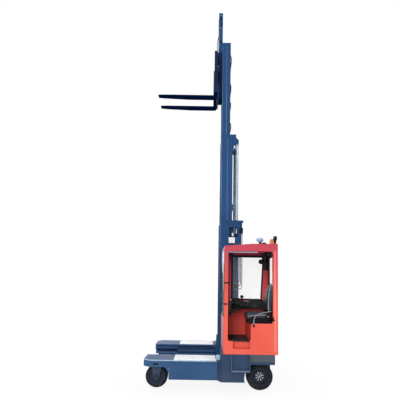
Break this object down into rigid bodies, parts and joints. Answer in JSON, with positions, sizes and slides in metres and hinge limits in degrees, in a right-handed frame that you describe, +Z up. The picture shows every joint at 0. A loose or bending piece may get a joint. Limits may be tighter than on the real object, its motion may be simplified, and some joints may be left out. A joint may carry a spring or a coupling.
{
  "type": "multidirectional reach truck",
  "caption": "Side-cab reach truck that travels in all directions, with a raised telescopic mast and forks between two base legs.",
  "frame": {"origin": "middle of the truck's outline on the floor", "axes": "-X forward, towards the fork tips; -Y towards the cab; +Z up the mast"},
  "size_m": [2.044, 2.71, 6.8099],
  "materials": {
    "frame_paint": "semi-gloss",
    "mast_paint": "semi-gloss",
    "fork_paint": "satin",
    "cab_paint": "semi-gloss",
    "cab_lining": "satin",
    "wear_plate": "satin",
    "bright_rod": "polished",
    "chain_steel": "oiled",
    "tyre_rubber": "matte",
    "rim_paint": "satin",
    "black_plastic": "grained",
    "seat_cover": "grained",
    "grey_steel": "satin",
    "amber_lens": "gloss",
    "clear_pane": "clear",
    "lamp_glass": "gloss",
    "battery_case": "matte"
  },
  "bodies": {
    "chassis": {"leg_left": "frame_paint", "leg_right": "frame_paint", "wear_plates": "wear_plate", "frame_side_left": "frame_paint", "frame_side_right": "frame_paint", "rear_beam": "frame_paint", "reach_barrel": "mast_paint", "cab_side": "cab_paint", "cab_sill": "cab_paint", "cab_front": "cab_paint", "cab_rear": "cab_paint", "cab_inner": "cab_lining", "cab_roof": "cab_paint", "roof_pane": "clear_pane", "cab_floor": "black_plastic", "seat_box": "cab_lining", "seat_base": "black_plastic", "seat_cushion": "seat_cover", "seat_back": "seat_cover", "side_console": "black_plastic", "key_pod": "black_plastic", "steering_column": "black_plastic", "grab_rail": "black_plastic", "beacon": "amber_lens", "work_lamp": "black_plastic", "step": "grey_steel", "battery": "battery_case", "battery_hood": "cab_paint", "battery_door": "cab_paint", "rear_cover": "frame_paint"},
    "steering_wheel": {"steering_wheel": "black_plastic"},
    "front_yoke_left": {"front_yoke_left": "frame_paint"},
    "front_yoke_right": {"front_yoke_right": "frame_paint"},
    "drive_unit_left": {"drive_unit_left": "rim_paint"},
    "drive_unit_right": {"drive_unit_right": "rim_paint"},
    "reach_carriage": {"reach_frame": "mast_paint", "reach_rod": "bright_rod", "mast_outer": "mast_paint", "lift_barrels": "mast_paint", "mast_lamp": "lamp_glass"},
    "mast_middle": {"mast_middle": "mast_paint", "lift_rods": "bright_rod", "lift_chains": "chain_steel"},
    "mast_inner": {"mast_inner": "mast_paint", "free_lift_barrel": "mast_paint"},
    "free_lift_head": {"free_lift_head": "bright_rod", "carriage_chains": "chain_steel"},
    "fork_carriage": {"fork_carriage": "mast_paint", "load_guard": "mast_paint", "carriage_tower": "mast_paint"},
    "fork_left": {"fork_left": "fork_paint"},
    "fork_right": {"fork_right": "fork_paint"},
    "wheel_front_left": {"tyre_front_left": "tyre_rubber", "rim_front_left": "rim_paint"},
    "wheel_front_right": {"tyre_front_right": "tyre_rubber", "rim_front_right": "rim_paint"},
    "wheel_rear_left": {"tyre_rear_left": "tyre_rubber", "rim_rear_left": "rim_paint"},
    "wheel_rear_right": {"tyre_rear_right": "tyre_rubber", "rim_rear_right": "rim_paint"}
  },
  "joints": [
    {"name": "reach", "type": "slide", "parent": "chassis", "child": "reach_carriage", "axis": [-1, 0, 0], "range_m": [0, 0.76]},
    {"name": "middle_lift", "type": "slide", "parent": "reach_carriage", "child": "mast_middle", "axis": [0, 0, 1], "range_m": [-1.615, 0.26]},
    {"name": "inner_lift", "type": "slide", "parent": "mast_middle", "child": "mast_inner", "axis": [0, 0, 1], "range_m": [-1.615, 0.26]},
    {"name": "carriage_lift", "type": "slide", "parent": "mast_inner", "child": "fork_carriage", "axis": [0, 0, 1], "range_m": [-1.7, 0]},
    {"name": "free_lift", "type": "slide", "parent": "mast_inner", "child": "free_lift_head", "axis": [0, 0, 1], "range_m": [-0.85, 0]},
    {"name": "fork_left_spread", "type": "slide", "parent": "fork_carriage", "child": "fork_left", "axis": [0, 1, 0], "range_m": [-0.05, 0.17]},
    {"name": "fork_right_spread", "type": "slide", "parent": "fork_carriage", "child": "fork_right", "axis": [0, -1, 0], "range_m": [-0.05, 0.17]},
    {"name": "steering_wheel_turn", "type": "hinge", "parent": "chassis", "child": "steering_wheel", "pos_m": [0.504, -0.75, 1.262], "axis": [0.2079, 0, 0.9781], "continuous": true},
    {"name": "front_steer_left", "type": "hinge", "parent": "chassis", "child": "front_yoke_left", "pos_m": [-0.822, -0.973, 0.1715], "axis": [0, 0, 1], "range_deg": [-90, 90]},
    {"name": "front_roll_left", "type": "hinge", "parent": "front_yoke_left", "child": "wheel_front_left", "pos_m": [-0.822, -0.973, 0.1715], "axis": [0, 1, 0], "continuous": true},
    {"name": "rear_steer_left", "type": "hinge", "parent": "chassis", "child": "drive_unit_left", "pos_m": [0.768, -1.046, 0.203], "axis": [0, 0, 1], "range_deg": [-90, 90]},
    {"name": "rear_roll_left", "type": "hinge", "parent": "drive_unit_left", "child": "wheel_rear_left", "pos_m": [0.768, -1.046, 0.203], "axis": [0, 1, 0], "continuous": true},
    {"name": "front_steer_right", "type": "hinge", "parent": "chassis", "child": "front_yoke_right", "pos_m": [-0.822, 0.973, 0.1715], "axis": [0, 0, 1], "range_deg": [-90, 90]},
    {"name": "front_roll_right", "type": "hinge", "parent": "front_yoke_right", "child": "wheel_front_right", "pos_m": [-0.822, 0.973, 0.1715], "axis": [0, 1, 0], "continuous": true},
    {"name": "rear_steer_right", "type": "hinge", "parent": "chassis", "child": "drive_unit_right", "pos_m": [0.768, 1.046, 0.203], "axis": [0, 0, 1], "range_deg": [-90, 90]},
    {"name": "rear_roll_right", "type": "hinge", "parent": "drive_unit_right", "child": "wheel_rear_right", "pos_m": [0.768, 1.046, 0.203], "axis": [0, 1, 0], "continuous": true}
  ],
  "couplings": [
    {"joint": "inner_lift", "follows": "middle_lift", "ratio": 1},
    {"joint": "free_lift", "follows": "carriage_lift", "ratio": 0.5}
  ]
}
